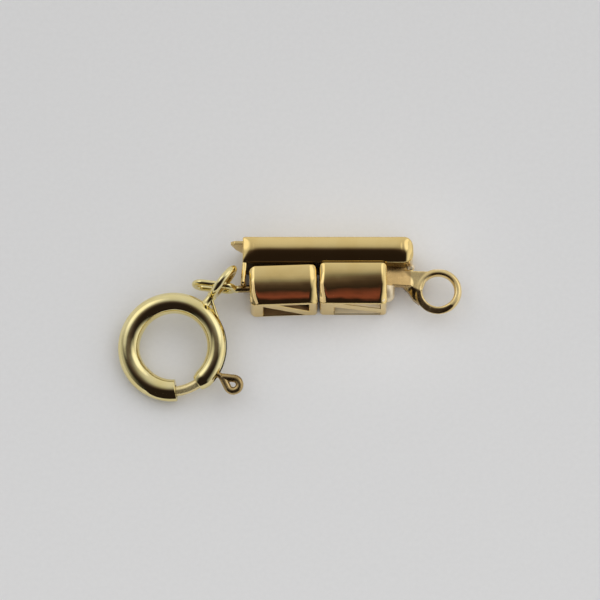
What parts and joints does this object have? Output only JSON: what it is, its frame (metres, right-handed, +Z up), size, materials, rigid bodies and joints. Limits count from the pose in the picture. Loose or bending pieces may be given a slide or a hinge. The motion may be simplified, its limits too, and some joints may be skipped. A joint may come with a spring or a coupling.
{
  "type": "self-locking jewellery clasp",
  "caption": "Self-locking magnetic jewellery clasp: barrels held beside a lock bar by a hook plate, with a flat eyelet at one end and a spring ring hung on the other.",
  "frame": {"origin": "middle of the clasp's footprint on the surface that it lies on", "axes": "+X runs along the lock bar from the spring ring to the eyelet, +Y points to the bar's back, +Z is up"},
  "size_m": [0.0188, 0.009, 0.0031],
  "materials": {
    "gold": "polished pale yellow gold",
    "magnet": "nickel-plated magnet, slightly dull"
  },
  "bodies": {
    "fixed_half": {"lock_half": "gold", "lock_magnet": "magnet"},
    "sliding_half": {"slide_half": "gold", "slide_magnet": "magnet", "spring_ring": "gold"},
    "gate": {"gate": "gold"}
  },
  "joints": [
    {"name": "unlock_slide", "type": "slide", "parent": "fixed_half", "child": "sliding_half", "axis": [0, -1, 0], "range_m": [0, 0.0026], "stiffness_N_per_m": 10},
    {"name": "gate_turn", "type": "hinge", "parent": "sliding_half", "child": "gate", "pos_m": [-0.00645, -0.00151, 0.00106], "axis": [-0.1308, -0.1616, 0.9781], "range_deg": [0, 38], "stiffness_Nm_per_rad": 0.00001}
  ]
}
